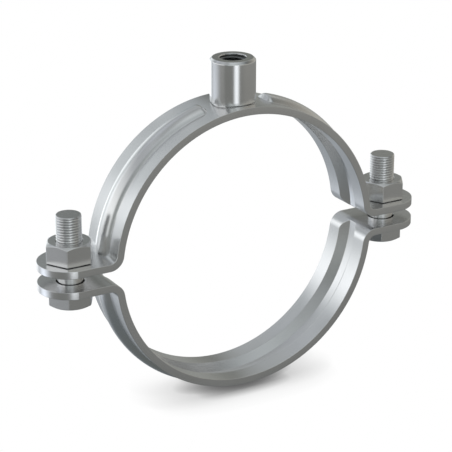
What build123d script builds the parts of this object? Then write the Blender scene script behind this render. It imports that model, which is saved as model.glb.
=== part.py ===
"""Two-screw pipe hanger: a beaded strap ring in two halves, a welded rod boss, two bolts, two nuts.

Millimetres, +Z up. The origin is on the pipe's axis, which runs along Y.
The ears and bolts lie at plus and minus X, and the rod boss stands on top.
"""
import math
import os

from build123d import *

# Strap: one bent and beaded steel strip for each half of the ring
BORE_RADIUS = 55.0          # inside of the closed ring, round the pipe
STRAP_THICKNESS = 3.0
STRAP_WIDTH = 25.0
BEND_RADIUS = 3.0           # inside radius of the bend from ring to ear
EAR_GAP = 5.4               # between the upper and the lower ear

# Ears and their bolt holes
BOLT_REACH = 13.4           # bolt axis from the outside of the ring
EAR_END_RADIUS = 12.7       # rounded end, about the bolt axis
EAR_HOLE_RADIUS = 5.5

# Bead pressed outwards: a round ridge outside and a trapezoid groove inside
RIDGE_WIDTH = 10.2
RIDGE_HEIGHT = 2.4
GROOVE_WIDTH = 11.0         # at the mouth
GROOVE_FLOOR_WIDTH = 4.0
GROOVE_DEPTH = 2.8
BEAD_START_DISTANCE = 15.7  # along the strap, from the boss axis to where a bead starts to close

# Rod boss: a turned sleeve on a short weld projection
BOSS_RADIUS = 9.0
BOSS_HEIGHT = 17.3          # above the crown of the strap
BOSS_CHAMFER = 0.75
WELD_RADIUS = 7.0
TAP_RADIUS = 4.25           # cored hole of the M10 thread
TAP_MOUTH_RADIUS = 5.25     # of the countersink at either end

# Bolts and nuts, M10
THREAD_RADIUS = 4.9
THREAD_CLEARANCE = 0.05     # between bolt and nut
TIP_ABOVE_NUT = 10.5
TIP_CHAMFER = 0.3
HEAD_ACROSS_FLATS = 16.0
HEAD_HEIGHT = 6.3
NUT_ACROSS_FLATS = 16.8
NUT_HEIGHT = 8.0
NUT_COUNTERSINK = 0.5       # at the top of its thread
HEX_CHAMFER_ANGLE = 30.0
HEX_FACE_MARGIN = 0.35      # the round end face is this much inside the flats
BEARING_FACE_HEIGHT = 0.4   # raised round face under the nut and under the head
BEARING_FACE_MARGIN = 1.0   # it is this much inside the flats

# What follows from them
strap_radius = BORE_RADIUS + STRAP_THICKNESS
bolt_offset = strap_radius + BOLT_REACH
half_gap = EAR_GAP / 2
ear_top = half_gap + STRAP_THICKNESS
ear_tip = bolt_offset + EAR_END_RADIUS
bend_z = ear_top + BEND_RADIUS
bend_x = math.sqrt((strap_radius + BEND_RADIUS) ** 2 - bend_z ** 2)
bend_angle = math.degrees(math.atan2(bend_z, bend_x))
bead_root = STRAP_THICKNESS / 2
bead_end_angle = 90 - math.degrees(BEAD_START_DISTANCE / strap_radius)
boss_top = strap_radius + BOSS_HEIGHT
nut_top = ear_top + NUT_HEIGHT
bolt_tip = nut_top + TIP_ABOVE_NUT
up_the_ring = Axis((0, 0, 0), (0, -1, 0))


def across_ring(radius, angle):
    """A plane that cuts the ring: its X points out from the pipe's axis, and its Y along the pipe."""
    out = Vector(1, 0, 0).rotate(Axis.Y, -angle)
    return Plane(origin=out * radius, x_dir=out, z_dir=out.cross(Vector(0, 1, 0)))


def strap_blank():
    """The bent strip of the upper half, with its rounded ends and bolt holes."""
    with BuildPart() as blank:
        with BuildSketch(Plane.XZ):
            with BuildLine():
                bend_sweep = 90 - bend_angle
                CenterArc((bend_x, bend_z), BEND_RADIUS + STRAP_THICKNESS, 180 + bend_angle, bend_sweep)
                Line((bend_x, half_gap), (ear_tip, half_gap))
                Line((ear_tip, half_gap), (ear_tip, ear_top))
                Line((ear_tip, ear_top), (bend_x, ear_top))
                CenterArc((bend_x, bend_z), BEND_RADIUS, 180 + bend_angle, bend_sweep)
                mirror(about=Plane.YZ)
                CenterArc((0, 0), BORE_RADIUS, bend_angle, 180 - 2 * bend_angle)
                CenterArc((0, 0), strap_radius, bend_angle, 180 - 2 * bend_angle)
            make_face()
        extrude(amount=STRAP_WIDTH / 2, both=True)
        with BuildSketch():
            Rectangle(2 * bolt_offset, 2 * EAR_END_RADIUS)
            with Locations((-bolt_offset, 0), (bolt_offset, 0)):
                Circle(EAR_END_RADIUS)
            Rectangle(2 * ear_tip, STRAP_WIDTH, mode=Mode.INTERSECT)
        extrude(amount=2 * strap_radius, mode=Mode.INTERSECT)
        with Locations((-bolt_offset, 0, ear_top), (bolt_offset, 0, ear_top)):
            Hole(EAR_HOLE_RADIUS)
    return blank.part


def ridge_section():
    """The bead's outside: X = 0 is the strap's outer face, and the foot reaches half into the strap."""
    half = RIDGE_WIDTH / 2
    with BuildSketch() as section:
        with BuildLine():
            ThreePointArc((0, -half), (RIDGE_HEIGHT, 0), (0, half))
            Polyline((0, half), (-bead_root, half), (-bead_root, -half), (0, -half))
        make_face()
    return section.sketch


def groove_section():
    """What the bead leaves open: X = 0 is the strap's inner face, and the mouth reaches into the bore."""
    mouth = GROOVE_WIDTH / 2
    floor = GROOVE_FLOOR_WIDTH / 2
    with BuildSketch() as section:
        with BuildLine():
            Polyline((0, mouth), (GROOVE_DEPTH, floor), (GROOVE_DEPTH, -floor), (0, -mouth))
            Polyline((0, -mouth), (-bead_root, -mouth), (-bead_root, mouth), (0, mouth))
        make_face()
    return section.sketch


def bead(section, radius, closed, foot):
    """The right side of a ridge or a groove, up to the crown or closed beside the boss.

    Below foot it is cut off.
    """
    with BuildPart() as form:
        with BuildSketch(across_ring(radius, 0)):
            add(section)
        revolve(axis=up_the_ring, revolution_arc=bead_end_angle if closed else 90)
        if closed:
            # The round end is the section again, turned down about a line across the strap
            with BuildSketch(across_ring(radius, bead_end_angle)):
                add(section)
            pivot = across_ring(radius - bead_root, bead_end_angle).origin
            revolve(axis=Axis(pivot, up_the_ring.direction), revolution_arc=90)
        split(bisect_by=Plane.XY.offset(foot))
    return form.part


def half_ring(closed):
    """One half of the ring, as the upper one. Its right side is made, and then mirrored."""
    with BuildPart() as half:
        add(strap_blank())
        split(bisect_by=Plane.YZ)
        add(bead(ridge_section(), strap_radius, closed, foot=ear_top))
        add(bead(groove_section(), BORE_RADIUS, closed, foot=0), mode=Mode.SUBTRACT)
        mirror(about=Plane.YZ)
    return half.part


def hexagon(across_flats, height):
    """A hexagon from Z = 0 upwards: a raised round bearing face below, a chamfered end above."""
    flat = across_flats / 2
    corner = flat / math.cos(math.radians(30))
    face = flat - HEX_FACE_MARGIN
    drop = (corner - face) * math.tan(math.radians(HEX_CHAMFER_ANGLE))
    bearing = flat - BEARING_FACE_MARGIN
    with BuildPart() as body:
        with BuildSketch():
            RegularPolygon(flat, 6, major_radius=False)
        extrude(amount=height)
        with BuildSketch(Plane.XZ):
            with BuildLine():
                Polyline(
                    (0, 0),
                    (bearing, 0),
                    (bearing, BEARING_FACE_HEIGHT),
                    (corner, BEARING_FACE_HEIGHT),
                    (corner, height - drop),
                    (face, height),
                    (0, height),
                    close=True,
                )
            make_face()
        revolve(axis=Axis.Z, mode=Mode.INTERSECT)
    return body.part


with BuildPart() as upper_band:
    add(half_ring(closed=True))
upper_band.part.label = "upper_band"

with BuildPart() as lower_band:
    add(half_ring(closed=False).mirror(Plane.XY))
lower_band.part.label = "lower_band"

with BuildPart() as threaded_boss:
    with BuildSketch(Plane.XY.offset(BORE_RADIUS)):
        Circle(WELD_RADIUS)
    extrude(amount=STRAP_THICKNESS)
    with BuildSketch(Plane.XZ):
        Circle(strap_radius)
    extrude(amount=BOSS_RADIUS, both=True, mode=Mode.SUBTRACT)
    with BuildSketch(Plane.XY.offset(strap_radius)):
        Circle(BOSS_RADIUS)
    extrude(amount=BOSS_HEIGHT)
    rim = threaded_boss.faces().sort_by(Axis.Z)[-1].edges()
    chamfer(rim, BOSS_CHAMFER)
    with Locations(Location((0, 0, boss_top)), Location((0, 0, strap_radius), (180, 0, 0))):
        CounterSinkHole(TAP_RADIUS, TAP_MOUTH_RADIUS, counter_sink_angle=90)
threaded_boss.part.label = "threaded_boss"

pieces = [upper_band.part, lower_band.part, threaded_boss.part]

for side, bolt_x in (("left", -bolt_offset), ("right", bolt_offset)):
    with BuildPart() as bolt:
        with Locations(Location((bolt_x, 0, -ear_top), (180, 0, 0))):
            add(hexagon(HEAD_ACROSS_FLATS, HEAD_HEIGHT))
        with BuildSketch(Plane.XY.offset(-ear_top)):
            with Locations((bolt_x, 0)):
                Circle(THREAD_RADIUS)
        extrude(amount=bolt_tip + ear_top)
        chamfer(bolt.faces().sort_by(Axis.Z)[-1].edges(), TIP_CHAMFER)
    bolt.part.label = f"bolt_{side}"
    pieces.append(bolt.part)

    with BuildPart() as nut:
        with Locations((bolt_x, 0, ear_top)):
            add(hexagon(NUT_ACROSS_FLATS, NUT_HEIGHT))
        with Locations((bolt_x, 0, nut_top)):
            Hole(THREAD_RADIUS + THREAD_CLEARANCE)
        threads = nut.edges().filter_by(GeomType.CIRCLE).group_by(SortBy.RADIUS)[0]
        chamfer(threads.sort_by(Axis.Z)[-1], NUT_COUNTERSINK)
    nut.part.label = f"nut_{side}"
    pieces.append(nut.part)

os.makedirs("parts", exist_ok=True)
for piece in pieces:
    export_step(piece, f"parts/{piece.label}.step")
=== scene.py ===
# %% [markdown]
# # A two-screw pipe hanger
# The hanger holds a steel pipe under a ceiling. It is a ring of pressed steel strap in two halves,
# which two bolts draw together, with a threaded boss on top for the hanging rod. Everything is
# zinc-plated. The solid model gives each part its place, and this file gives it its looks: softened
# edges, real screw threads, the plating, and the studio that the metal mirrors.

# %% Load the solid model
import math

import bmesh
import bpy
from mathutils import Matrix, Vector


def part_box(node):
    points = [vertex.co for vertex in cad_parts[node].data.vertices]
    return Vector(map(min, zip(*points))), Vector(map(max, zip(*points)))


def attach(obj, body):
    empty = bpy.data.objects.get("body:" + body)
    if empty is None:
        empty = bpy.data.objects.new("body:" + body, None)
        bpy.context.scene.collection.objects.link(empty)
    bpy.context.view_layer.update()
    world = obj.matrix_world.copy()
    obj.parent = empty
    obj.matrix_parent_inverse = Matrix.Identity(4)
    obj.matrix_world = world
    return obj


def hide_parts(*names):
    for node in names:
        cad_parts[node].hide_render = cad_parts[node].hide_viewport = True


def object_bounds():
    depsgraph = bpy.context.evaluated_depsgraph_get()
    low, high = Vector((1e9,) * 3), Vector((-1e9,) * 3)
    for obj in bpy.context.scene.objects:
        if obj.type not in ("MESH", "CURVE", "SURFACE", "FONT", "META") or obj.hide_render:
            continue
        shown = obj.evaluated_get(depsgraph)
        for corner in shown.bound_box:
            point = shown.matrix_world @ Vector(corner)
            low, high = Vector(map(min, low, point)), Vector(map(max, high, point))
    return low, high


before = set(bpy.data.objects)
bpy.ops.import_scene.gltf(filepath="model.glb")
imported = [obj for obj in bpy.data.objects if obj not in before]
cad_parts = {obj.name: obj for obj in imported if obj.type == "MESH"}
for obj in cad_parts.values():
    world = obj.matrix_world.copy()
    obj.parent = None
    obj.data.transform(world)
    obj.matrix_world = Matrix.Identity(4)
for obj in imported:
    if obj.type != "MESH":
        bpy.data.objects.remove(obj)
cad_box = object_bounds()
MM = 0.001
for node in sorted(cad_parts):
    low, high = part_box(node)
    print(node, "is", [round((b - a) / MM, 2) for a, b in zip(low, high)], "mm")

# %% [markdown]
# ## The sizes
# A maker works from a few numbers, and the rest follows from them. These are millimetres, the same
# ones that the solids were made with. The pipe's axis is Y and the hanging rod's axis is Z.

# %% The sizes that everything follows from
BORE_RADIUS = 55.0
STRAP_THICKNESS = 3.0
STRAP_WIDTH = 25.0
BEND_RADIUS = 3.0
EAR_GAP = 5.4
BOLT_OFFSET = 71.4
EAR_END_RADIUS = 12.7
EAR_HOLE_RADIUS = 5.5

strap_radius = BORE_RADIUS + STRAP_THICKNESS
ear_bottom = EAR_GAP / 2
ear_top = ear_bottom + STRAP_THICKNESS
bend_z = ear_top + BEND_RADIUS
bend_x = math.sqrt((strap_radius + BEND_RADIUS) ** 2 - bend_z**2)
bend_angle = math.degrees(math.atan2(bend_z, bend_x))
print("the ring turns into its ears", round(bend_angle, 2), "degrees above the bolts' level")

# %% [markdown]
# ## Materials as sums
# A Blender material is a net of nodes. Written out node by node it is hard to follow, so a small
# class stands for one output of a node. Adding or multiplying two of them adds the Math node that
# does it, and the recipe for a finish then reads like a sum.

# %% A socket that can be added and multiplied
class Wire:
    """One output in a node tree, which sums and products can use like a number."""

    def __init__(self, tree, socket=None):
        self.tree = tree
        self.socket = socket

    def node(self, kind, settings=None, sockets=None, out=0):
        """Adds a node: its settings first, then the values or wires of its sockets."""
        made = self.tree.nodes.new(kind)
        for name, value in (settings or {}).items():
            if name == "stops":
                for place, colour in value[2:]:
                    made.color_ramp.elements.new(place)
                for stop, (place, colour) in zip(made.color_ramp.elements, sorted(value)):
                    stop.position = place
                    stop.color = (*colour, 1.0)
            else:
                setattr(made, name, value)
        for name, value in (sockets or {}).items():
            if isinstance(value, Wire):
                self.tree.links.new(value.socket, made.inputs[name])
            else:
                made.inputs[name].default_value = value
        return Wire(self.tree, made.outputs[out] if made.outputs else None)

    def output(self, number):
        """Another output of the same node."""
        return Wire(self.tree, self.socket.node.outputs[number])

    def maths(self, operation, *others):
        """A Math node on this wire and up to two other values."""
        values = dict(enumerate((self, *others)))
        return self.node("ShaderNodeMath", {"operation": operation}, values)

    def __add__(self, other):
        return self.maths("ADD", other)

    def __radd__(self, other):
        return self.maths("ADD", other)

    def __sub__(self, other):
        return self.maths("SUBTRACT", other)

    def __rsub__(self, other):
        return self.node("ShaderNodeMath", {"operation": "SUBTRACT"}, {0: other, 1: self})

    def __mul__(self, other):
        return self.maths("MULTIPLY", other)

    def __rmul__(self, other):
        return self.maths("MULTIPLY", other)

    def rises(self, low, high):
        """0 below low and 1 above high, with a smooth slope between them."""
        values = {"Value": self, "From Min": low, "From Max": high}
        return self.node("ShaderNodeMapRange", {"interpolation_type": "SMOOTHSTEP"}, values)

    def mix(self, colour, other):
        """This wire is the share of the other colour."""
        return self.node("ShaderNodeMix", {"data_type": "RGBA"}, {0: self, 6: colour, 7: other}, out=2)


trial = bpy.data.node_groups.new("trial", "ShaderNodeTree")
doubled = (1 - Wire(trial).node("ShaderNodeValue")) * 2
print("(1 - value) * 2 ends in a", doubled.socket.node.bl_label, "node, number", len(trial.nodes))
bpy.data.node_groups.remove(trial)

# %% [markdown]
# ## The camera
# The photograph looks at the hanger from 30 degrees to its left and 21 degrees above, through a long
# lens. A long lens far away keeps the ring's near and far edges almost the same size, as here.

# %% Set the camera up
CAMERA_TURN = math.radians(-29.962)
CAMERA_RISE = math.radians(20.883)
CAMERA_DISTANCE = 723.649
AIM_RIGHT = -2.600
AIM_UP = 5.394
FOCAL_PIXELS = 1815.415
PICTURE_PIXELS = 452
SENSOR_WIDTH = 36.0

back = Vector(
    (
        math.sin(CAMERA_TURN) * math.cos(CAMERA_RISE),
        -math.cos(CAMERA_TURN) * math.cos(CAMERA_RISE),
        math.sin(CAMERA_RISE),
    )
)
right = Vector((math.cos(CAMERA_TURN), math.sin(CAMERA_TURN), 0))
up = back.cross(right)
eye = (right * AIM_RIGHT + up * AIM_UP + back * CAMERA_DISTANCE) * MM

camera = bpy.data.objects.new("camera", bpy.data.cameras.new("camera"))
bpy.context.scene.collection.objects.link(camera)
bpy.context.scene.camera = camera
camera.matrix_world = Matrix.Translation(eye) @ Matrix((right, up, back)).transposed().to_4x4()
camera.data.sensor_width = SENSOR_WIDTH
camera.data.lens = SENSOR_WIDTH * FOCAL_PIXELS / PICTURE_PIXELS
camera.data.clip_start = 0.01
print("the lens is", round(camera.data.lens, 1), "mm")

# %% [markdown]
# ## The studio
# Metal has hardly a colour of its own: it shows the room. So the room is drawn first, as soft
# patches of light on a dim sky. A patch is a window in two angles, the turn round the hanger, which
# is 0 in front and grows to the right, and the rise above the level.

# %% Measure the direction
world = bpy.data.worlds.new("studio")
bpy.context.scene.world = world
world.use_nodes = True
world.node_tree.nodes.clear()
sky = Wire(world.node_tree)
east = sky.node("ShaderNodeSeparateXYZ", None, {0: sky.node("ShaderNodeTexCoord")})
north = east.output(1)
height = east.output(2)
turn = east.maths("ARCTAN2", 0 - north) * math.degrees(1)
rise = height.maths("ARCSINE") * math.degrees(1)


def window(turn_middle, turn_half, turn_edge, rise_middle, rise_half, rise_edge):
    """1 inside a window and 0 outside, in degrees: its middle, half its size and half its soft edge."""
    across = (turn - turn_middle).maths("WRAP", 180, -180).maths("ABSOLUTE")
    upwards = (rise - rise_middle).maths("ABSOLUTE")
    outside_across = across.rises(turn_half - turn_edge, turn_half + turn_edge)
    outside_upwards = upwards.rises(rise_half - rise_edge, rise_half + rise_edge)
    return (1 - outside_across) * (1 - outside_upwards)


print("turn and rise take", len(world.node_tree.nodes), "nodes")

# %% Light patches by direction
SKY_BY_RISE = [
    # rise in degrees, and colour, where 1 is white
    (-90, (0.14, 0.15, 0.14)),
    (-50, (0.16, 0.18, 0.19)),
    (-20, (0.22, 0.22, 0.21)),
    (0, (0.26, 0.28, 0.27)),
    (25, (0.04, 0.05, 0.04)),
    (50, (0.13, 0.14, 0.14)),
    (90, (0.66, 0.69, 0.70)),
]
SOFT_LIGHTS = [
    # the six numbers of its window, and its colour
    (-110, 38, 4, 14, 15, 21, (1.23, 1.24, 1.26)),
    (-172, 17, 5, 8, 19, 19, (0.81, 0.83, 0.83)),
    (-11, 11, 8, -2, 22, 5, (1.11, 1.16, 1.22)),
    (-6, 36, 22, 37, 11, 17, (0.96, 1.01, 1.01)),
    (-126, 15, 24, -25, 7, 7, (1.52, 1.64, 1.85)),
    (-93, 36, 13, 45, 19, 5, (0.30, 0.31, 0.33)),
    (76, 60, 30, 15, 19, 24, (0.43, 0.40, 0.36)),
    (-2, 69, 5, 75, 22, 24, (0.19, 0.21, 0.22)),
    (-167, 35, 4, -6, 38, 5, (0.22, 0.24, 0.27)),
    (-156, 24, 15, 49, 12, 12, (0.48, 0.50, 0.55)),
    (146, 31, 12, 43, 18, 3, (0.33, 0.34, 0.35)),
    (-43, 13, 7, 15, 10, 10, (0.73, 0.77, 0.79)),
    (175, 22, 8, -16, 10, 8, (0.85, 0.86, 0.88)),
]
stops = [(degrees / 180 + 0.5, colour) for degrees, colour in SKY_BY_RISE]
share_up = rise * (1 / 180) + 0.5
level = share_up.node("ShaderNodeValToRGB", {"stops": stops}, {0: share_up})
for *place, colour in SOFT_LIGHTS:
    added = {0: window(*place), 1: colour, 2: level}
    level = level.node("ShaderNodeVectorMath", {"operation": "MULTIPLY_ADD"}, added)
print(len(SOFT_LIGHTS), "soft lights")

# %% [markdown]
# ## What the camera sees behind the hanger
# Only the camera sees plain white. The metal mirrors the studio instead, because the photograph's
# metal shows a dim room with bright windows, and in a white room it would be white all over.

# %% White for the camera, the studio for the metal
rays = sky.node("ShaderNodeLightPath")
seen = rays.mix(level, (1.0, 1.0, 1.0, 1.0))
lamp = sky.node("ShaderNodeBackground", None, {"Color": seen, "Strength": 1.0})
sky.node("ShaderNodeOutputWorld", None, {"Surface": lamp})
bpy.context.scene.view_settings.view_transform = "Standard"
print("the studio takes", len(world.node_tree.nodes), "nodes")

# %% [markdown]
# ## The floor
# The hanger stands on a white sweep that shines by itself. Its soft shadow shows how much of a cone
# of directions, which leans back behind the ring, is hidden by metal close by: once for metal within
# 16 mm, and once more for metal within 6 mm, which deepens the shadow under the ring. The metal does
# not mirror the floor, because the photograph's lower side is as dim as an open room.

# %% Lay the floor
FLOOR_SIZE = 6.0
SHADOWS = [(0.016, 0.45), (0.006, 0.85)]  # reach in metres, and depth
LEAN = (-0.1, 0.6, 0.7)  # the middle of the cone
floor_level = cad_box[0][2]
floor_mesh = bmesh.new()
bmesh.ops.create_grid(floor_mesh, x_segments=1, y_segments=1, size=FLOOR_SIZE / 2)
bmesh.ops.translate(floor_mesh, verts=floor_mesh.verts, vec=(0, 0, floor_level))
floor = bpy.data.objects.new("floor", bpy.data.meshes.new("floor"))
floor_mesh.to_mesh(floor.data)
floor_mesh.free()
bpy.context.scene.collection.objects.link(floor)
floor.visible_glossy = False
print("the floor lies", round(floor_level / MM, 2), "mm from the pipe's axis")

# %% Let it shine, and darken it near metal
paper = bpy.data.materials.new("white paper")
paper.use_nodes = True
paper.node_tree.nodes.clear()
sheet = Wire(paper.node_tree)
lean = sheet.node("ShaderNodeCombineXYZ", None, dict(enumerate(LEAN)))
shade = 1.0
for reach, depth in SHADOWS:
    values = {"Distance": reach, "Normal": lean}
    open_share = sheet.node("ShaderNodeAmbientOcclusion", None, values, out=1)
    shade = open_share.maths("POWER", depth) * shade
glow = sheet.node("ShaderNodeEmission", None, {"Color": shade})
sheet.node("ShaderNodeOutputMaterial", None, {"Surface": glow})
floor.data.materials.append(paper)
print("the floor's shadow has", len(SHADOWS), "layers")

# %% [markdown]
# ## The finish
# The parts are plated with zinc over steel. Plating is never quite even: its gloss drifts over a few
# centimetres, and it has a very fine grain. The thread inside the rod's hole gets a dark metal, which
# is painted shade for the dark deep in the hole.

# %% One recipe for the plating
CLOUDS_PER_METRE = 45.0
DARKEST_TINT = 0.94
BUMP_STRENGTH = 0.06
BUMP_HEIGHT = 0.00002


def plating(name, colour, roughness, drift, grain, grain_size):
    """Zinc over steel. The roughness drifts with the clouds, and varies a little with the grain."""
    material = bpy.data.materials.new(name)
    material.use_nodes = True
    material.node_tree.nodes.clear()
    wire = Wire(material.node_tree)
    place = wire.node("ShaderNodeTexCoord", None, None, out=3)
    wide = {"Vector": place, "Scale": CLOUDS_PER_METRE, "Detail": 4.0}
    clouds = wire.node("ShaderNodeTexNoise", None, wide)
    fine = wire.node("ShaderNodeTexNoise", None, {"Vector": place, "Scale": grain_size, "Detail": 2.0})
    dark = tuple(DARKEST_TINT * part for part in colour)
    # Noise keeps mostly between a quarter and three quarters
    tint = clouds.rises(0.25, 0.75).mix((*dark, 1.0), (*colour, 1.0))
    rough = clouds * drift + (roughness - drift / 2) + (fine - 0.5) * grain
    relief = {"Strength": BUMP_STRENGTH, "Distance": BUMP_HEIGHT, "Height": fine}
    bump = wire.node("ShaderNodeBump", None, relief)
    zinc = wire.node(
        "ShaderNodeBsdfPrincipled",
        None,
        {"Base Color": tint, "Metallic": 1.0, "Roughness": rough, "Normal": bump},
    )
    wire.node("ShaderNodeOutputMaterial", None, {"Surface": zinc})
    print(name, "takes", len(material.node_tree.nodes), "nodes")
    return material


strap_zinc = plating("zinc on rolled strap", (0.74, 0.74, 0.74), 0.25, 0.05, 0.05, 900.0)
turned_zinc = plating("zinc on turned steel", (0.74, 0.74, 0.74), 0.19, 0.04, 0.04, 1200.0)
forged_zinc = plating("zinc on forged steel", (0.73, 0.73, 0.73), 0.24, 0.05, 0.05, 1500.0)
# A dark metal for the thread inside the boss's hole: painted shade for the dark deep in the hole
painted_hole_shade = plating("painted shade in the tapped hole", (0.30, 0.31, 0.31), 0.32, 0.05, 0.05, 1500.0)

# %% [markdown]
# ## From a mesh to a piece
# Every piece is made in millimetres, because that is how a drawing gives it, and is brought to
# metres at the very end. Its place is in its mesh, so its object stays at the origin, where the
# solids' objects stand too. Each piece then rides on the moving body that carries it.

# %% Hand a finished mesh over
SHARP_ANGLE = 50.0


def deliver(name, solid, materials, body, node):
    """Makes the bmesh an object in metres that stands for the solid called node."""
    bmesh.ops.scale(solid, vec=(MM, MM, MM), verts=solid.verts)
    bmesh.ops.recalc_face_normals(solid, faces=solid.faces)
    mesh = bpy.data.meshes.new(name)
    solid.to_mesh(mesh)
    solid.free()
    mesh.shade_smooth()
    mesh.set_sharp_from_angle(angle=math.radians(SHARP_ANGLE))
    for material in materials:
        mesh.materials.append(material)
    piece = bpy.data.objects.new(name, mesh)
    bpy.context.scene.collection.objects.link(piece)
    even = piece.modifiers.new("even shading", "WEIGHTED_NORMAL")
    even.keep_sharp = True
    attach(piece, body)
    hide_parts(node)
    print(name, "has", len(mesh.polygons), "faces")


# %% [markdown]
# ## Corners in a profile
# No metal edge is perfectly sharp. Rounding the corners of a flat profile, before it is turned or
# bent, is easier than bevelling the solid afterwards, and every rounding then has its own radius.

# %% Round the corners of a profile
def rounded(corners, every=22):
    """The points of a closed profile. A corner is two coordinates and the radius of its rounding,
    which gets a point for every so many degrees that it turns."""
    points = []
    for i, (x, y, radius) in enumerate(corners):
        here = Vector((x, y))
        if radius == 0:
            points.append(here)
            continue
        before = (Vector(corners[i - 1][:2]) - here).normalized()
        after = (Vector(corners[(i + 1) % len(corners)][:2]) - here).normalized()
        half = before.angle(after) / 2
        centre = here + (before + after).normalized() * radius / math.sin(half)
        first = here + before * radius / math.tan(half) - centre
        sweep = first.angle_signed(here + after * radius / math.tan(half) - centre)
        steps = math.ceil(math.degrees(abs(sweep)) / every)
        for step in range(steps + 1):
            points.append(centre + Matrix.Rotation(-sweep * step / steps, 2) @ first)
    return points


square = [(0, 0, 1), (9, 0, 1), (9, 9, 1), (0, 9, 1)]
print("a square with rounded corners has", len(rounded(square)), "points")

# %% [markdown]
# ## Turned blanks
# A boss, a nut and a bolt's head all start as round steel. A lathe turns a profile round an axis,
# and so does spin. Where the profile touches the axis, its points fall together and are merged.

# %% Turn a profile round Z
TURN_STEPS = 96
SAME_PLACE = 1e-4


def turned(profile):
    """A solid from a closed profile of radius and height."""
    blank = bmesh.new()
    points = [blank.verts.new((radius, 0, height)) for radius, height in profile]
    lines = []
    for a, b in zip(points, points[1:] + points[:1]):
        if a.co.x > 0 or b.co.x > 0:
            lines.append(blank.edges.new((a, b)))
    bmesh.ops.spin(
        blank, geom=points + lines, cent=(0, 0, 0), axis=(0, 0, 1),
        angle=math.tau, steps=TURN_STEPS, use_merge=True,
    )
    bmesh.ops.remove_doubles(blank, verts=blank.verts, dist=SAME_PLACE)
    bmesh.ops.recalc_face_normals(blank, faces=blank.faces)
    return blank


print("a full turn takes", TURN_STEPS, "steps")

# %% [markdown]
# ## Cuts along a plane
# Sawing and milling leave flat faces. Bisecting a mesh does the same: it parts every face that the
# plane crosses, drops what lies beyond it, and leaves a rim that can be filled or merged.

# %% Cut a mesh along a plane
def only(geometry, kind):
    """The points, or the edges, out of a mix of points, edges and faces."""
    return [part for part in geometry if isinstance(part, kind)]


def cut_away(solid, place, outwards):
    """Takes off all that lies beyond a plane, and gives the edges of the rim."""
    whole = solid.verts[:] + solid.edges[:] + solid.faces[:]
    cut = bmesh.ops.bisect_plane(
        solid, geom=whole, dist=SAME_PLACE, plane_co=place, plane_no=outwards, clear_outer=True
    )
    return only(cut["geom_cut"], bmesh.types.BMEdge)


print("points closer than", SAME_PLACE, "mm count as one")

# %% [markdown]
# ## Six flats
# A hexagon is made from the round blank by cutting six flats. Because the blank's end is a cone,
# each flat meets it in the curved line that every nut and bolt head shows.

# %% Cut six flats
EDGE_ROUNDING = 0.12
SMALLEST_FLAT = 10.0
FLAT_EDGE_ANGLE = 15.0


def cut_flats(blank, across_flats):
    """Cuts the blank down to a hexagon whose corners point along X, and softens its edges."""
    for angle in range(30, 390, 60):
        out = Vector((1, 0, 0))
        out.rotate(Matrix.Rotation(math.radians(angle), 3, "Z"))
        rim = cut_away(blank, out * across_flats / 2, out)
        bmesh.ops.holes_fill(blank, edges=rim)
    upright = [face for face in blank.faces if abs(face.normal.z) < 0.01]
    flats = [face for face in upright if face.calc_area() > SMALLEST_FLAT]
    limit = math.radians(FLAT_EDGE_ANGLE)
    outlines = {edge for face in flats for edge in face.edges}
    rims = [edge for edge in blank.edges if edge in outlines and edge.calc_face_angle(0) > limit]
    bmesh.ops.bevel(
        blank, geom=rims, offset=EDGE_ROUNDING, offset_type="OFFSET",
        segments=2, profile=0.5, affect="EDGES", material=-1,
    )


print("the edges of a hexagon are rounded by", EDGE_ROUNDING, "mm")

# %% [markdown]
# ## Screw threads
# A thread is one small profile that is turned and lifted at the same time, and spin does this when
# it is given an offset for each step. One turn is screwed and copied upwards, and the ragged ends
# are cut level. Turning anticlockwise while rising makes the thread right-handed, as on these bolts.

# %% Screw a profile upwards
THREAD_STEPS = 60
TURNS_MEET = 1e-3


def screwed(profile, pitch, low, high):
    """A spiral surface between two heights. The profile gives radius and share of the pitch."""
    thread = bmesh.new()
    points = [thread.verts.new((radius, 0, low + (share - 1) * pitch)) for radius, share in profile]
    lines = [thread.edges.new(pair) for pair in zip(points, points[1:])]
    bmesh.ops.spin(
        thread, geom=points + lines, cent=(0, 0, 0), axis=(0, 0, 1), dvec=(0, 0, pitch / THREAD_STEPS),
        angle=math.tau, steps=THREAD_STEPS,
    )
    one_turn = thread.verts[:] + thread.edges[:] + thread.faces[:]
    for number in range(1, math.ceil((high - low) / pitch) + 2):
        copy = bmesh.ops.duplicate(thread, geom=one_turn)["geom"]
        moved = only(copy, bmesh.types.BMVert)
        bmesh.ops.translate(thread, verts=moved, vec=(0, 0, pitch * number))
    bmesh.ops.remove_doubles(thread, verts=thread.verts, dist=TURNS_MEET)
    cut_away(thread, (0, 0, low), (0, 0, -1))
    cut_away(thread, (0, 0, high), (0, 0, 1))
    return thread


print("each turn of a thread takes", THREAD_STEPS, "steps")

# %% [markdown]
# ## The bolts
# Each bolt has a smooth shank between the ears and a thread from the upper ear to the tip, whose
# small chamfer lets the nut start. Rolling forms the turns between dies, so their crests are round
# and the grooves between them are narrow. The head below the lower ear is forged: a hexagon with a
# raised round face where it bears on the ear. Head, shank and thread are three closed shells that
# reach into each other.

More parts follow.
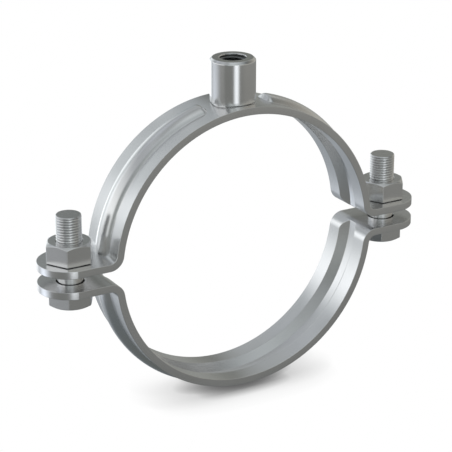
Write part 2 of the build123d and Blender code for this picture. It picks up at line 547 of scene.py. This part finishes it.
# %% Size up the bolts
SHANK_RADIUS = 5.0
SHANK_START = -ear_top - 1.0
SHANK_END = ear_top - 0.1
THREAD_START = ear_top - 1.0
THREAD_RADIUS = 5.0
THREAD_ROOT_RADIUS = 4.5
THREAD_PITCH = 1.06
THREAD_POINTS = 12
CREST_BREADTH = 2.6
TIP_ABOVE_NUT = 10.5
TIP_RADIUS = 4.65
NUT_HEIGHT = 8.0
HEAD_ACROSS_FLATS = 16.0
HEAD_HEIGHT = 6.3
BEARING_FACE_HEIGHT = 0.25
BEARING_FACE_MARGIN = 1.0
HEX_FACE_MARGIN = 0.35
HEX_CHAMFER_ANGLE = 30.0
BLANK_OVERSIZE = 1.002
nut_top = ear_top + NUT_HEIGHT
bolt_tip = nut_top + TIP_ABOVE_NUT
thread_profile = []
for step in range(THREAD_POINTS + 1):
    share = step / THREAD_POINTS
    rise_of_crest = 1 - abs(2 * share - 1) ** CREST_BREADTH
    radius = THREAD_ROOT_RADIUS + (THREAD_RADIUS - THREAD_ROOT_RADIUS) * rise_of_crest
    thread_profile.append((radius, share))
print("about", round(TIP_ABOVE_NUT / THREAD_PITCH), "turns stand above each nut")

# %% Draw the blank of a hexagon
def hexagon_blank(across_flats, height, hole):
    """The corners of a head's or a nut's profile, from its bearing face at 0 upwards."""
    flat = across_flats / 2
    corner = flat / math.cos(math.radians(30))
    face = flat - HEX_FACE_MARGIN
    drop = (corner - face) * math.tan(math.radians(HEX_CHAMFER_ANGLE))
    return [
        *hole,
        (flat - BEARING_FACE_MARGIN, 0, 0.1),
        (flat - BEARING_FACE_MARGIN, BEARING_FACE_HEIGHT, 0.05),
        (corner * BLANK_OVERSIZE, BEARING_FACE_HEIGHT, 0.1),
        (corner * BLANK_OVERSIZE, height - drop, 0),
        (face, height, 0.25),
    ]


head_profile = [*hexagon_blank(HEAD_ACROSS_FLATS, HEAD_HEIGHT, [(0, 0, 0)]), (0, HEAD_HEIGHT, 0)]
print("a head's profile has", len(rounded(head_profile)), "points")

# %% Make the two bolts
def join(solid, other):
    """Adds the other mesh to this one, as a shell of its own."""
    carrier = bpy.data.meshes.new("carrier")
    bmesh.ops.recalc_face_normals(other, faces=other.faces)
    other.to_mesh(carrier)
    other.free()
    solid.from_mesh(carrier)
    bpy.data.meshes.remove(carrier)


def make_bolt(side, bolt_x):
    """The head is made upwards and turned over, and the thread narrows to the chamfer of its tip."""
    bolt = turned(rounded(head_profile))
    cut_flats(bolt, HEAD_ACROSS_FLATS)
    over = Matrix.Rotation(math.pi, 3, "X")
    bmesh.ops.rotate(bolt, verts=bolt.verts, cent=(0, 0, 0), matrix=over)
    bmesh.ops.translate(bolt, verts=bolt.verts, vec=(0, 0, -ear_top))
    shank = [
        (0, SHANK_START), (SHANK_RADIUS, SHANK_START),
        (SHANK_RADIUS, SHANK_END), (0, SHANK_END),
    ]
    join(bolt, turned(shank))
    thread = screwed(thread_profile, THREAD_PITCH, THREAD_START, bolt_tip)
    for point in thread.verts:
        limit = TIP_RADIUS + bolt_tip - point.co.z
        radius = point.co.xy.length
        if radius > limit:
            point.co.xy *= limit / radius
    ends = [edge for edge in thread.edges if edge.is_boundary]
    bmesh.ops.holes_fill(thread, edges=ends)
    join(bolt, thread)
    bmesh.ops.translate(bolt, verts=bolt.verts, vec=(bolt_x, 0, 0))
    deliver(f"screw_{side}", bolt, [forged_zinc], "lower_half", f"bolt_{side}")


for side, bolt_x in (("left", -BOLT_OFFSET), ("right", BOLT_OFFSET)):
    make_bolt(side, bolt_x)

# %% [markdown]
# ## The nuts
# The nut is the same hexagon with a hole. A countersink at the top of the thread leaves the thin
# dark ring that shows round the bolt. The nut's own thread is hidden, so its bore is plain.

# %% Make the two nuts
NUT_ACROSS_FLATS = 16.8
NUT_BORE_RADIUS = 5.05
NUT_COUNTERSINK = 0.25


def make_nut(side, bolt_x):
    """A blank with a hole, cut to a hexagon and set down on the upper ear."""
    hole = [(NUT_BORE_RADIUS, NUT_HEIGHT - NUT_COUNTERSINK, 0.05), (NUT_BORE_RADIUS, 0, 0.1)]
    mouth = (NUT_BORE_RADIUS + NUT_COUNTERSINK, NUT_HEIGHT, 0.1)
    nut = turned(rounded([*hexagon_blank(NUT_ACROSS_FLATS, NUT_HEIGHT, hole), mouth]))
    cut_flats(nut, NUT_ACROSS_FLATS)
    bmesh.ops.translate(nut, verts=nut.verts, vec=(bolt_x, 0, ear_top))
    deliver(f"hex_nut_{side}", nut, [forged_zinc], f"{side}_nut", f"nut_{side}")


for side, bolt_x in (("left", -BOLT_OFFSET), ("right", BOLT_OFFSET)):
    make_nut(side, bolt_x)

# %% [markdown]
# ## The boss
# The boss is a turned sleeve, welded to the crown of the ring, that takes the hanging rod's thread.
# Its upper rim has a soft chamfer, and under its lower rim shows the weld. The inside is a real
# thread, and its first turns are pushed out to the wall and the small chamfer of the mouth.

# %% Size up the boss
BOSS_RADIUS = 9.0
BOSS_HEIGHT = 17.3
BOSS_CHAMFER = 0.95
WELD_RADIUS = 8.3
WELD_SUNK = 0.9
MOUTH_RADIUS = 5.35
MOUTH_DEPTH = 1.2
MOUTH_MARGIN = 0.4
TAP_RADIUS = 4.4
TAP_ROOT_RADIUS = 5.15
TAP_PITCH = 1.0
TAP_PROFILE = [
    (TAP_ROOT_RADIUS, 0.0),
    (TAP_ROOT_RADIUS, 0.10),
    (TAP_RADIUS, 0.42),
    (TAP_RADIUS, 0.68),
    (TAP_ROOT_RADIUS, 1.0),
]
boss_top = strap_radius + BOSS_HEIGHT
print("the boss reaches", round(boss_top, 2), "mm above the pipe's axis")

# %% Thread the hole
bore = screwed(TAP_PROFILE, TAP_PITCH, strap_radius, boss_top)
for point in bore.verts:
    into = min(boss_top - point.co.z, point.co.z - strap_radius)
    radius = point.co.xy.length
    if into < MOUTH_DEPTH:
        point.co.xy *= max(MOUTH_RADIUS - into, TAP_ROOT_RADIUS) / radius
chamfer_foot = boss_top - MOUTH_RADIUS + TAP_ROOT_RADIUS
# Below the mouth's chamfer the hole's thread takes the dark metal of painted shade
for face in bore.faces:
    face.material_index = 0 if face.calc_center_median().z > chamfer_foot else 1
print("the hole's thread has", len(bore.faces), "faces")

# %% Make the boss
inner_edge = MOUTH_RADIUS + MOUTH_MARGIN
boss_profile = [
    (inner_edge, strap_radius, 0),
    (BOSS_RADIUS, strap_radius, 0.45),
    (BOSS_RADIUS, boss_top - BOSS_CHAMFER, 0.5),
    (BOSS_RADIUS - BOSS_CHAMFER, boss_top, 0.4),
    (inner_edge, boss_top, 0),
]
boss = turned(rounded(boss_profile, every=15))
inner_wall = [face for face in boss.faces if face.calc_center_median().xy.length < inner_edge + 0.1]
bmesh.ops.delete(boss, geom=inner_wall, context="FACES")
join(boss, bore)
for height in (strap_radius, boss_top):
    open_edges = [edge for edge in boss.edges if edge.is_boundary]
    rims = [edge for edge in open_edges if all(abs(p.co.z - height) < 1e-3 for p in edge.verts)]
    bmesh.ops.triangle_fill(boss, edges=rims, use_beauty=True)
weld_foot = strap_radius - WELD_SUNK
weld = [
    (MOUTH_RADIUS, weld_foot), (WELD_RADIUS, weld_foot),
    (WELD_RADIUS, strap_radius), (MOUTH_RADIUS, strap_radius),
]
join(boss, turned(weld))
deliver("rod_boss", boss, [turned_zinc, painted_hole_shade], "upper_half", "threaded_boss")

# %% [markdown]
# ## Bending the strap
# Each half of the ring is one strip of steel, 3 mm thick. It leaves the ear level, turns up through
# a tight bend and then follows the pipe. Spin does both bends: it carries the strip's end round an
# axis, step by step. Both halves of a band are alike, so only the right side is made, a little past
# the crown, and mirrored at the end.

# %% Carry an end round an axis
def carry(solid, end, centre, axis, angle, steps=1):
    """Spins an end round an axis, and gives the new end."""
    sweep = math.radians(angle)
    return bmesh.ops.spin(solid, geom=end, cent=centre, axis=axis, angle=sweep, steps=steps)["geom_last"]


def first_face(solid, corners):
    """A face from its corners, with its edges and corners."""
    points = [solid.verts.new(corner) for corner in corners]
    face = solid.faces.new(points)
    return [face, *face.edges, *points]


RING_STEPS = 55
ring_step = (90 - bend_angle) / RING_STEPS
print("the ring turns by", round(ring_step, 3), "degrees at each step")

# %% Bend the right side of a band
BEND_STEPS = 14
STEPS_PAST_CROWN = 2
ALONG_PIPE = Vector((0, 1, 0))


def bent_strip():
    """The strip from beyond the ear's tip to a little past the crown."""
    strip = bmesh.new()
    side = STRAP_WIDTH / 2
    beyond = BOLT_OFFSET + EAR_END_RADIUS + 1
    section = [(-side, ear_bottom), (side, ear_bottom), (side, ear_top), (-side, ear_top)]
    end = first_face(strip, [(beyond, y, z) for y, z in section])
    end = bmesh.ops.extrude_face_region(strip, geom=end)["geom"]
    moved = only(end, bmesh.types.BMVert)
    bmesh.ops.translate(strip, verts=moved, vec=(bend_x - beyond, 0, 0))
    end = carry(strip, end, (bend_x, 0, bend_z), ALONG_PIPE, 90 - bend_angle, BEND_STEPS)
    steps = RING_STEPS + STEPS_PAST_CROWN
    carry(strip, end, (0, 0, 0), -ALONG_PIPE, ring_step * steps, steps)
    bmesh.ops.recalc_face_normals(strip, faces=strip.faces)
    return strip


trial = bent_strip()
print("the bent strip has", len(trial.faces), "faces")
trial.free()

# %% [markdown]
# ## The pressed bead
# A bead is pressed outwards along the strap to stiffen it. Outside it is a round ridge that rises
# from the strap in a smooth hollow, and inside it is a groove with a flat floor. Both start as bars,
# spun round the pipe's axis in the same steps as the strap. In the upper half the bead closes beside
# the boss: there the bar's end is carried on in small steps, and each step is lower and narrower.

# %% Draw the two cross-sections
RIDGE_WIDTH = 10.2
RIDGE_HEIGHT = 2.4
RIDGE_SLOPE = 50.0
RIDGE_HOLLOW = 0.6
GROOVE_WIDTH = 11.0
GROOVE_FLOOR_WIDTH = 4.0
GROOVE_DEPTH = 2.8
GROOVE_FLOOR_ROUNDING = 0.4
BEAD_ROOT = STRAP_THICKNESS / 2
BRIM_MARGIN = 0.3
# Past the hollow, the bar dips from just above the strap's face to just below it
PROUD = 0.02
SUNK = 0.05


def ridge_section():
    """Points of height above the strap and place along the pipe. The flanks are straight tangents."""
    half = RIDGE_WIDTH / 2
    crown_radius = (half**2 + RIDGE_HEIGHT**2) / (2 * RIDGE_HEIGHT)
    slope = math.radians(RIDGE_SLOPE)
    peak = RIDGE_HEIGHT + crown_radius * (1 / math.cos(slope) - 1)
    foot = peak / math.tan(slope)
    brim = foot + RIDGE_HOLLOW * math.tan(slope / 2) + BRIM_MARGIN
    return rounded(
        [
            (-BEAD_ROOT, -brim, 0), (-SUNK, -brim, 0), (PROUD, -foot, RIDGE_HOLLOW),
            (peak, 0, crown_radius),
            (PROUD, foot, RIDGE_HOLLOW), (-SUNK, brim, 0), (-BEAD_ROOT, brim, 0),
        ],
        every=6,
    )


def groove_section():
    """The same for the groove, as height above the strap's inner face."""
    mouth = GROOVE_WIDTH / 2
    side = GROOVE_FLOOR_WIDTH / 2
    return rounded(
        [
            (-BEAD_ROOT, -mouth, 0), (0, -mouth, 0), (GROOVE_DEPTH, -side, GROOVE_FLOOR_ROUNDING),
            (GROOVE_DEPTH, side, GROOVE_FLOOR_ROUNDING), (0, mouth, 0), (-BEAD_ROOT, mouth, 0),
        ],
        every=12,
    )


print("the ridge's outline has", len(ridge_section()), "points, the groove's", len(groove_section()))

# %% Draw a closing end
BEAD_START_DISTANCE = 15.7
END_SLOPE = 60.0
END_ROUNDING = 2.0
END_HOLLOW = 0.6


def end_profile(height):
    """Distance and height along the closing end: round at the top, hollow at the foot."""
    slope = math.radians(END_SLOPE)
    top = END_ROUNDING * math.tan(slope / 2)
    foot = top + height / math.tan(slope)
    # The first and the last corner only give the roundings their direction
    corners = [(-1, height, 0), (top, height, END_ROUNDING), (foot, 0, END_HOLLOW), (foot + 5, 0, 0)]
    return rounded(corners, every=8)[1:-1]


bead_end_angle = 90 - math.degrees(BEAD_START_DISTANCE / strap_radius)
print("the ridge closes over", round(end_profile(RIDGE_HEIGHT)[-1].x, 2), "mm")

# %% Close a bar's end
LOWEST_SHARE = 0.004
NARROWING = 0.94


def close_end(bar, end, radius, height):
    """Carries the bar's end on, lower and narrower at each step, until it is gone."""
    profile = end_profile(height)
    length = profile[-1].x
    angle = bead_end_angle
    last_level = 1.0
    last_spread = 1.0
    for (before, _), (distance, left) in zip(profile, profile[1:]):
        share = distance / length
        new_level = max(left / height, LOWEST_SHARE)
        spread = math.sqrt(1 - NARROWING * share**2)
        step_angle = math.degrees((distance - before) / radius)
        angle += step_angle
        end = carry(bar, end, (0, 0, 0), -ALONG_PIPE, step_angle)
        points = only(end, bmesh.types.BMVert)
        surface = Matrix.Translation((-radius, 0, 0)) @ Matrix.Rotation(math.radians(angle), 4, "Y")
        upper = [point for point in points if (surface @ point.co).x > -BEAD_ROOT / 2]
        bmesh.ops.scale(bar, vec=(new_level / last_level, 1, 1), space=surface, verts=upper)
        bmesh.ops.scale(bar, vec=(1, spread / last_spread, 1), space=surface, verts=points)
        last_level = new_level
        last_spread = spread


print("a closed end keeps", round(math.sqrt(1 - NARROWING), 2), "of its width")

# %% Spin the bars
def bead_bar(section, radius, height, closed, foot):
    """A bar round the right side of the ring, cut off level at the foot."""
    bar = bmesh.new()
    end = first_face(bar, [(radius + out, y, 0) for out, y in section])
    below = math.ceil(bend_angle / ring_step)
    start = bend_angle - below * ring_step
    tilt = Matrix.Rotation(math.radians(-start), 3, "Y")
    bmesh.ops.rotate(bar, verts=bar.verts, cent=(0, 0, 0), matrix=tilt)
    goal = bead_end_angle if closed else 90 + (STEPS_PAST_CROWN + 1) * ring_step
    steps = round((goal - start) / ring_step - 0.5)
    end = carry(bar, end, (0, 0, 0), -ALONG_PIPE, steps * ring_step, steps)
    if closed:
        end = carry(bar, end, (0, 0, 0), -ALONG_PIPE, goal - start - steps * ring_step)
        close_end(bar, end, radius, height)
    rim = cut_away(bar, (0, 0, foot), (0, 0, -1))
    bmesh.ops.holes_fill(bar, edges=rim)
    bmesh.ops.recalc_face_normals(bar, faces=bar.faces)
    return bar


trial = bead_bar(groove_section(), BORE_RADIUS, GROOVE_DEPTH, True, 0)
print("the groove's bar has", len(trial.faces), "faces")
trial.free()

# %% [markdown]
# ## Joining and cutting
# The ridge is joined to the strip, and the groove, the bolt's hole and all beyond the ear's round
# end are cut away. The Boolean modifier does this exactly. Its result becomes the band's own mesh,
# so that no modifier and no tool is left behind.

# %% Use one solid on another
def as_object(solid, name):
    """An object from a mesh in the making, for a modifier to work on."""
    mesh = bpy.data.meshes.new(name)
    solid.to_mesh(mesh)
    solid.free()
    made = bpy.data.objects.new(name, mesh)
    bpy.context.scene.collection.objects.link(made)
    return made


def combine(solid, tool, operation):
    """The solid after the tool is joined to it, cut from it or kept in common with it."""
    body = as_object(solid, "work")
    cutter = as_object(tool, "tool")
    change = body.modifiers.new("change", "BOOLEAN")
    change.object = cutter
    change.operation = operation
    change.solver = "EXACT"
    changed = body.evaluated_get(bpy.context.evaluated_depsgraph_get())
    result = bmesh.new()
    result.from_mesh(changed.to_mesh())
    changed.to_mesh_clear()
    for used in (body, cutter):
        mesh = used.data
        bpy.data.objects.remove(used)
        bpy.data.meshes.remove(mesh)
    return result


# %% Trim the ear and drill it
def upright_disc(radius, x, height):
    """A round bar through the ear, with its middle on the bolts' level."""
    disc = bmesh.new()
    bmesh.ops.create_cone(
        disc, cap_ends=True, segments=96, radius1=radius, radius2=radius, depth=height,
        matrix=Matrix.Translation((x, 0, 0)),
    )
    return disc


def ear_plan():
    """An upright prism with the outline of the ear, and with all that lies inside it."""
    plan = upright_disc(EAR_END_RADIUS, BOLT_OFFSET, 4 * strap_radius)
    for point in plan.verts:
        if point.co.x < BOLT_OFFSET - 1e-3:
            point.co.x = -strap_radius / 4
    return plan


def trimmed_strip():
    """The bent strip with its round end. Its hole comes last, after the bead."""
    return combine(bent_strip(), ear_plan(), "INTERSECT")


trial = trimmed_strip()
print("the trimmed strip has", len(trial.faces), "faces")
trial.free()

# %% [markdown]
# ## Softened edges
# The shear leaves the strap's edges crisp, but tumbling and plating round them a little. A narrow
# bevel gives each of them the fine bright line that metal has in any light.

# %% Soften the edges
SHEAR_ROUNDING = 0.15
SHEAR_ANGLE = 30.0
SLIVER = 2e-3


def soften(solid):
    """Rounds the sharp outer edges."""
    bmesh.ops.dissolve_degenerate(solid, dist=SLIVER, edges=solid.edges)
    limit = math.radians(SHEAR_ANGLE)
    whole_edges = [edge for edge in solid.edges if edge.is_manifold]
    lines = [edge for edge in whole_edges if edge.calc_face_angle_signed(0) > limit]
    bmesh.ops.bevel(
        solid, geom=lines, offset=SHEAR_ROUNDING, offset_type="OFFSET", segments=2,
        profile=0.5, affect="EDGES", material=-1, clamp_overlap=False,
    )
    print(len(lines), "sharp edges are rounded by", SHEAR_ROUNDING, "mm")


# %% Make the two bands
RIDGE_FOOT_SUNK = 0.8  # into the ear
DRILL_LENGTH = 60.0


def make_band(name, closed, body, node, upside_down):
    """One half of the ring. Its right side is made as the upper one, and then mirrored."""
    band = trimmed_strip()
    ridge = bead_bar(ridge_section(), strap_radius, RIDGE_HEIGHT, closed, ear_top - RIDGE_FOOT_SUNK)
    groove = bead_bar(groove_section(), BORE_RADIUS, GROOVE_DEPTH, closed, 0)
    drill = upright_disc(EAR_HOLE_RADIUS, BOLT_OFFSET, DRILL_LENGTH)
    band = combine(band, ridge, "UNION")
    band = combine(band, groove, "DIFFERENCE")
    band = combine(band, drill, "DIFFERENCE")
    soften(band)
    cut_away(band, (0, 0, 0), (-1, 0, 0))
    whole = band.verts[:] + band.edges[:] + band.faces[:]
    bmesh.ops.mirror(band, geom=whole, matrix=Matrix.Identity(4), merge_dist=1e-3, axis="X")
    if upside_down:
        over = Matrix.Rotation(math.pi, 3, "Y")
        bmesh.ops.rotate(band, verts=band.verts, cent=(0, 0, 0), matrix=over)
    deliver(name, band, [strap_zinc], body, node)


make_band("upper_half_ring", True, "upper_half", "upper_band", False)
make_band("lower_half_ring", False, "lower_half", "lower_band", True)
